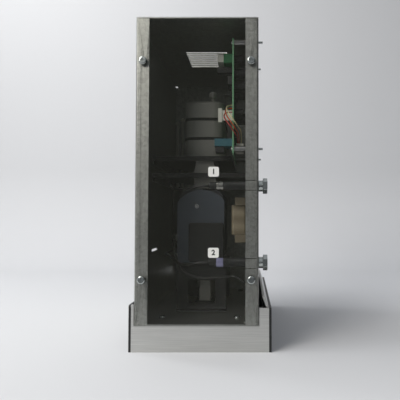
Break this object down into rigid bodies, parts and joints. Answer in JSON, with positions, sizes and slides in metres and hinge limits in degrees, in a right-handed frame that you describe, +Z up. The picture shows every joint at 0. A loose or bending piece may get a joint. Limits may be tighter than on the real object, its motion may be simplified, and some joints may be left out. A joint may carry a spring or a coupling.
{
  "type": "bill validator",
  "caption": "Tall banknote validator in a folded steel case with a smoked clear front window, standing on its brushed entry bezel.",
  "frame": {"origin": "centre of the rectangle of bolt holes in the underside of the entry bezel, which is the plane the part stands on", "axes": "+Z up along the case, +Y from the clear window to the back, +X to the side with the sensors"},
  "size_m": [0.1761, 0.332, 0.4112],
  "materials": {
    "galvanised_steel": "galvanised, spangled",
    "brushed_stainless": "long-grain brushed",
    "black_paint": "powder coat, fine texture",
    "aluminium": "mill finish",
    "smoked_acrylic": "smoked clear, polished",
    "zinc_screw": "zinc plated",
    "bright_steel": "turned",
    "nickel_brass": "nickel plated thread",
    "black_plastic": "moulded, fine spark texture",
    "dark_plastic": "moulded",
    "blue_grey_plastic": "moulded",
    "grey_plastic": "moulded",
    "black_rubber": "matt",
    "black_pvc": "extruded jacket",
    "wire_pvc": "extruded insulation",
    "green_board": "solder resist",
    "terminal_green": "moulded",
    "white_nylon": "moulded",
    "relay_blue": "moulded",
    "black_component": "moulded",
    "spacer_grey": "turned",
    "transformer_tape": "tape-wrapped winding in a lacquered core",
    "clear_lens": "polished",
    "label_paper": "satin paper"
  },
  "bodies": {
    "case": {"base_screws": "zinc_screw", "bezel_side_plates": "black_paint", "bezel_tray": "brushed_stainless", "black_leads": "black_pvc", "board_parts": "black_component", "box_bands": "black_rubber", "cable_duct": "black_plastic", "case_floor": "galvanised_steel", "case_left_side": "galvanised_steel", "case_rear_wall": "galvanised_steel", "case_top": "galvanised_steel", "door_pin": "bright_steel", "drive_belts": "black_rubber", "entry_guide": "grey_plastic", "head_back_plate": "galvanised_steel", "head_cover": "blue_grey_plastic", "head_frame": "dark_plastic", "head_lower_panel": "black_plastic", "head_stand": "black_paint", "lead_plugs": "black_plastic", "locating_strip": "aluminium", "note_box": "grey_plastic", "note_chute": "grey_plastic", "panel_screws": "zinc_screw", "pcb": "green_board", "pcb_screws": "zinc_screw", "pcb_standoffs": "spacer_grey", "pressure_spring": "bright_steel", "relay": "relay_blue", "right_side_panel": "galvanised_steel", "scan_lens": "clear_lens", "sensor_nuts": "zinc_screw", "shelves": "black_paint", "shutter_solenoid": "galvanised_steel", "side_sensors": "nickel_brass", "signal_wires": "wire_pvc", "slot_throat": "black_plastic", "stay_rods": "bright_steel", "support_posts": "bright_steel", "terminal_block": "terminal_green", "transformer": "transformer_tape", "transport_motor": "black_paint", "white_headers": "white_nylon", "window_cover": "smoked_acrylic", "window_labels": "label_paper", "window_rivet_nuts": "zinc_screw", "window_screws": "zinc_screw"},
    "shutter": {"shutter_gate": "bright_steel", "solenoid_plunger": "bright_steel"},
    "jam_door": {"head_door": "dark_plastic", "idler_axles": "bright_steel"},
    "lower_drive": {"lower_drive_shaft": "bright_steel", "lower_drive_rollers": "black_rubber"},
    "upper_drive": {"upper_drive_shaft": "bright_steel", "upper_drive_rollers": "black_rubber"},
    "motor_rotor": {"motor_pulley": "bright_steel"},
    "lower_idler": {"lower_idler_rollers": "grey_plastic"},
    "upper_idler": {"upper_idler_rollers": "grey_plastic"},
    "box_knob": {"release_knob": "grey_plastic"},
    "box_plate": {"pressure_plate": "grey_plastic"}
  },
  "joints": [
    {"name": "shutter_slide", "type": "slide", "parent": "case", "child": "shutter", "axis": [1, 0, 0], "range_m": [0, 0.0065], "stiffness_N_per_m": 60, "springref_m": -0.002},
    {"name": "jam_door_hinge", "type": "hinge", "parent": "case", "child": "jam_door", "pos_m": [0.006, 0, 0.104], "axis": [0, 1, 0], "range_deg": [0, 12]},
    {"name": "lower_drive_spin", "type": "hinge", "parent": "case", "child": "lower_drive", "pos_m": [-0.009, 0, 0.125], "axis": [0, 1, 0], "continuous": true},
    {"name": "upper_drive_spin", "type": "hinge", "parent": "case", "child": "upper_drive", "pos_m": [-0.009, 0, 0.178], "axis": [0, 1, 0], "continuous": true},
    {"name": "motor_spin", "type": "hinge", "parent": "case", "child": "motor_rotor", "pos_m": [-0.046, 0, 0.116], "axis": [0, 1, 0], "continuous": true},
    {"name": "lower_idler_spin", "type": "hinge", "parent": "jam_door", "child": "lower_idler", "pos_m": [0.007, 0, 0.125], "axis": [0, 1, 0], "continuous": true},
    {"name": "upper_idler_spin", "type": "hinge", "parent": "jam_door", "child": "upper_idler", "pos_m": [0.007, 0, 0.178], "axis": [0, 1, 0], "continuous": true},
    {"name": "box_knob_pull", "type": "slide", "parent": "case", "child": "box_knob", "axis": [0, 0, 1], "range_m": [0, 0.005], "stiffness_N_per_m": 200, "springref_m": -0.002},
    {"name": "box_plate_slide", "type": "slide", "parent": "case", "child": "box_plate", "axis": [-1, 0, 0], "range_m": [0, 0.014], "stiffness_N_per_m": 80, "springref_m": -0.003, "deforming": ["pressure_spring"]}
  ],
  "couplings": [
    {"joint": "upper_drive_spin", "follows": "lower_drive_spin", "ratio": 1},
    {"joint": "motor_spin", "follows": "lower_drive_spin", "ratio": 2},
    {"joint": "lower_idler_spin", "follows": "lower_drive_spin", "ratio": -1.3088},
    {"joint": "upper_idler_spin", "follows": "lower_drive_spin", "ratio": -1.3088}
  ]
}
